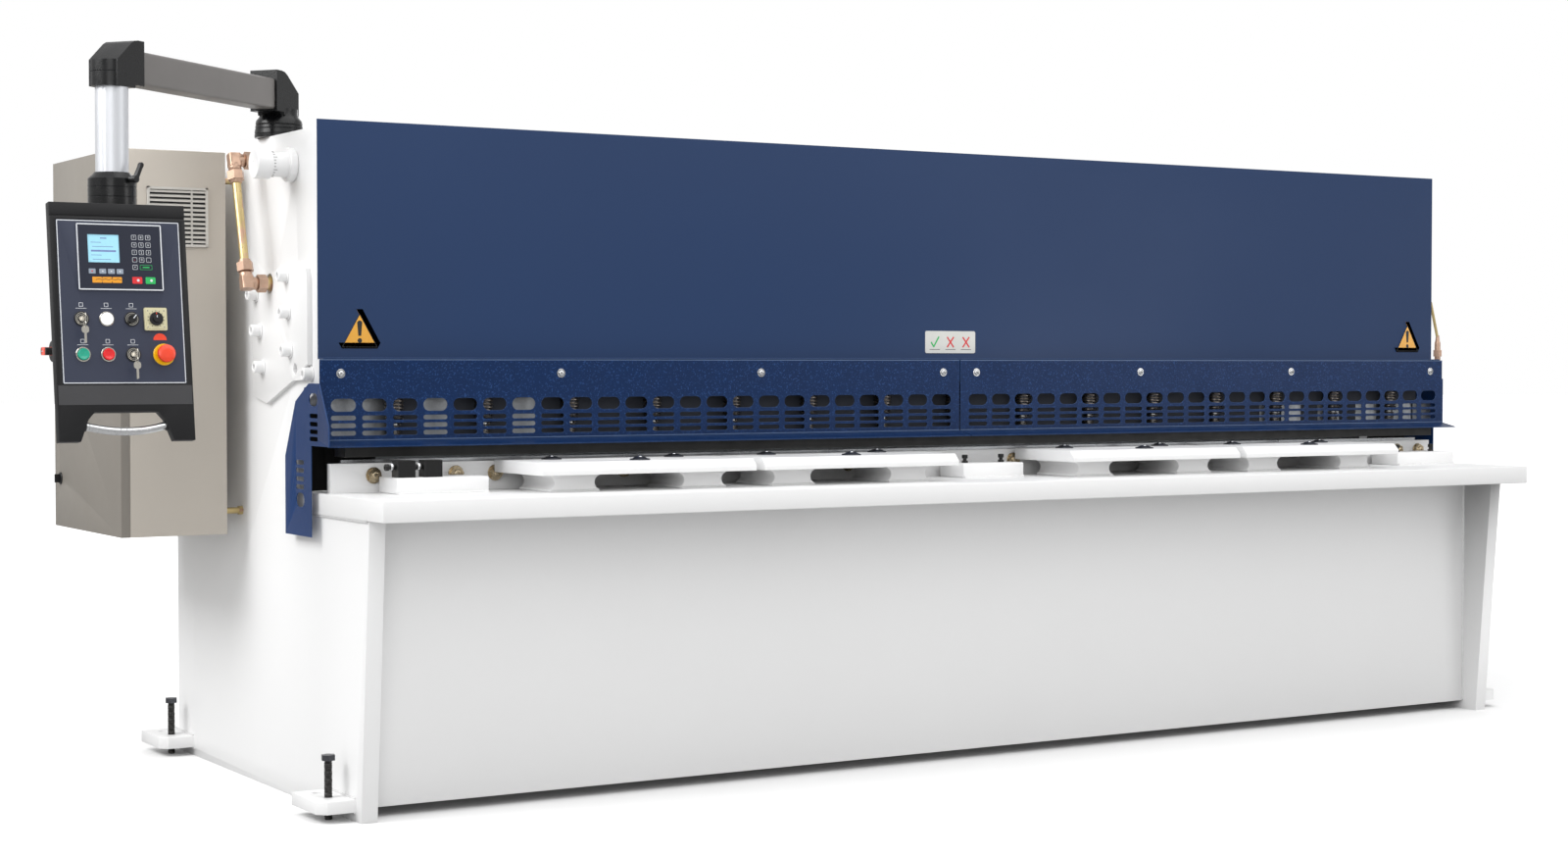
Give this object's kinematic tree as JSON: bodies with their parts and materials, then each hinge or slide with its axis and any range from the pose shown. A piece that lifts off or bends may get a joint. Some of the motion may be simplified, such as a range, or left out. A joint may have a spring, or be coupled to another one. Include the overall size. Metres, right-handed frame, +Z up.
{
  "type": "hydraulic plate shear",
  "caption": "Long hydraulic swing-beam plate shear with slotted finger guard, ball-topped table plates, wall cabinet and swivelling control pendant.",
  "frame": {"origin": "floor level, midway between the four anchor holes of the floor lugs", "axes": "+X along the blades to the operator's right, +Y to the back of the machine, +Z up"},
  "size_m": [4.3781, 1.505, 1.768],
  "materials": {
    "white_paint": "satin",
    "blue_paint": "satin",
    "hammer_blue": "hammered",
    "beige_paint": "fine texture",
    "grey_paint": "satin",
    "zinc_sheet": "matt",
    "tool_steel": "ground",
    "black_steel": "black oxide",
    "bright_steel": "polished",
    "yellow_zinc": "passivated",
    "label_amber": "satin",
    "black_plastic": "matt",
    "aluminium_tube": "brushed",
    "panel_grey": "satin",
    "pale_plastic": "satin",
    "green_plastic": "gloss",
    "red_plastic": "gloss"
  },
  "bodies": {
    "frame": {"left_plate": "white_paint", "right_plate": "white_paint", "levelling_screws": "black_steel", "table_plate": "white_paint", "front_panel": "white_paint", "frame_webs": "white_paint", "blade_holder": "white_paint", "lower_blade": "tool_steel", "holder_bolts": "yellow_zinc", "support_pillars": "white_paint", "support_plates": "white_paint", "ball_units": "bright_steel", "adjuster_pads": "white_paint", "adjusters": "black_steel", "guide_bar": "black_steel", "clamp_beam": "white_paint", "clamp_cylinders": "black_steel", "clamp_springs": "black_steel", "front_cover": "blue_paint", "finger_guards": "hammer_blue", "guard_screws": "bright_steel", "side_guards": "blue_paint", "warning_plates": "label_amber", "side_bolts": "white_paint", "side_brackets": "white_paint", "pivot_pins": "bright_steel", "drive_cylinders": "grey_paint", "hydraulic_lines": "yellow_zinc", "oil_tank": "grey_paint", "power_pack": "grey_paint", "gauge_frame": "grey_paint", "rear_chute": "zinc_sheet", "cabinet_shell": "beige_paint", "cabinet_trim": "pale_plastic", "standoffs": "yellow_zinc", "arm_base": "black_plastic"},
    "swing_beam": {"swing_beam": "white_paint", "upper_blade": "tool_steel"},
    "drive_rods": {"drive_rods": "bright_steel"},
    "clamp_feet": {"clamp_feet": "bright_steel"},
    "gap_shaft": {"gap_shaft": "white_paint"},
    "back_gauge": {"gauge_beam": "zinc_sheet"},
    "gauge_screw": {"gauge_screw": "bright_steel"},
    "cabinet_door": {"cabinet_door": "beige_paint"},
    "door_lock": {"door_lock": "black_plastic"},
    "main_switch": {"switch_knob": "red_plastic"},
    "pendant_arm": {"arm": "black_plastic", "column": "aluminium_tube"},
    "pendant": {"panel_housing": "black_plastic", "panel_face": "panel_grey", "panel_fittings": "pale_plastic", "panel_handle": "bright_steel"},
    "clamp_lever": {"clamp_lever": "black_plastic"},
    "green_button": {"green_button": "green_plastic"},
    "red_button": {"red_button": "red_plastic"},
    "estop_button": {"estop_button": "red_plastic"},
    "selector_knob": {"selector_knob": "black_plastic"},
    "key_upper": {"key_upper": "bright_steel"},
    "key_lower": {"key_lower": "bright_steel"},
    "timer_dial": {"timer_dial": "black_plastic"}
  },
  "joints": [
    {"name": "beam_swing", "type": "hinge", "parent": "frame", "child": "swing_beam", "pos_m": [0, 0.408, 0.868], "axis": [1, 0, 0], "range_deg": [0, 5.1], "stiffness_Nm_per_rad": 400000, "springref_deg": -3.44},
    {"name": "rod_stroke", "type": "slide", "parent": "frame", "child": "drive_rods", "axis": [0, 0, -1], "range_m": [0, 0.0485]},
    {"name": "clamp_stroke", "type": "slide", "parent": "frame", "child": "clamp_feet", "axis": [0, 0, -1], "range_m": [0, 0.0095], "stiffness_N_per_m": 60000, "springref_m": -0.006, "deforming": ["clamp_springs"]},
    {"name": "gap_setting", "type": "hinge", "parent": "frame", "child": "gap_shaft", "pos_m": [0, -0.325, 1.524], "axis": [1, 0, 0], "range_deg": [-90, 90]},
    {"name": "gauge_travel", "type": "slide", "parent": "frame", "child": "back_gauge", "axis": [0, 1, 0], "range_m": [0, 0.6]},
    {"name": "gauge_screw_turn", "type": "hinge", "parent": "frame", "child": "gauge_screw", "pos_m": [0, 0, 0.765], "axis": [0, 1, 0], "range_deg": [0, 21700]},
    {"name": "door_hinge", "type": "hinge", "parent": "frame", "child": "cabinet_door", "pos_m": [-2.141, -0.02, 0.621], "axis": [0, 0, 1], "range_deg": [0, 110]},
    {"name": "lock_turn", "type": "hinge", "parent": "cabinet_door", "child": "door_lock", "pos_m": [-2.141, 0.513, 0.747], "axis": [-1, 0, 0], "range_deg": [0, 90]},
    {"name": "main_switch_turn", "type": "hinge", "parent": "cabinet_door", "child": "main_switch", "pos_m": [-2.141, 0.513, 1.08], "axis": [-1, 0, 0], "range_deg": [0, 90]},
    {"name": "arm_swivel", "type": "hinge", "parent": "frame", "child": "pendant_arm", "pos_m": [-1.771, -0.124, 1.64], "axis": [0, 0, 1], "range_deg": [-20, 50]},
    {"name": "pendant_swivel", "type": "hinge", "parent": "pendant_arm", "child": "pendant", "pos_m": [-2.31806, -0.56072, 1.47], "axis": [0, 0, 1], "range_deg": [-60, 60]},
    {"name": "lever_turn", "type": "hinge", "parent": "pendant", "child": "clamp_lever", "pos_m": [-2.28806, -0.61268, 1.454], "axis": [0.5, -0.866, 0], "range_deg": [-90, 60]},
    {"name": "green_press", "type": "slide", "parent": "pendant", "child": "green_button", "axis": [0, 0.9903, -0.1392], "range_m": [0, 0.003], "stiffness_N_per_m": 400, "springref_m": -0.002},
    {"name": "red_press", "type": "slide", "parent": "pendant", "child": "red_button", "axis": [0, 0.9903, -0.1392], "range_m": [0, 0.003], "stiffness_N_per_m": 400, "springref_m": -0.002},
    {"name": "estop_press", "type": "slide", "parent": "pendant", "child": "estop_button", "axis": [0, 0.9903, -0.1392], "range_m": [0, 0.006]},
    {"name": "selector_turn", "type": "hinge", "parent": "pendant", "child": "selector_knob", "pos_m": [-2.30606, -0.65762, 1.14451], "axis": [0, -0.9903, 0.1392], "range_deg": [-45, 45]},
    {"name": "upper_key_turn", "type": "hinge", "parent": "pendant", "child": "key_upper", "pos_m": [-2.41606, -0.65762, 1.14451], "axis": [0, -0.9903, 0.1392], "range_deg": [-90, 0]},
    {"name": "lower_key_turn", "type": "hinge", "parent": "pendant", "child": "key_lower", "pos_m": [-2.30606, -0.66848, 1.06727], "axis": [0, -0.9903, 0.1392], "range_deg": [-90, 0]},
    {"name": "timer_turn", "type": "hinge", "parent": "pendant", "child": "timer_dial", "pos_m": [-2.25406, -0.65762, 1.14451], "axis": [0, -0.9903, 0.1392], "range_deg": [-150, 150]}
  ],
  "couplings": [
    {"joint": "rod_stroke", "follows": "beam_swing", "m_per_rad": 0.54},
    {"joint": "gauge_screw_turn", "follows": "gauge_travel", "rad_per_m": 628.32}
  ]
}
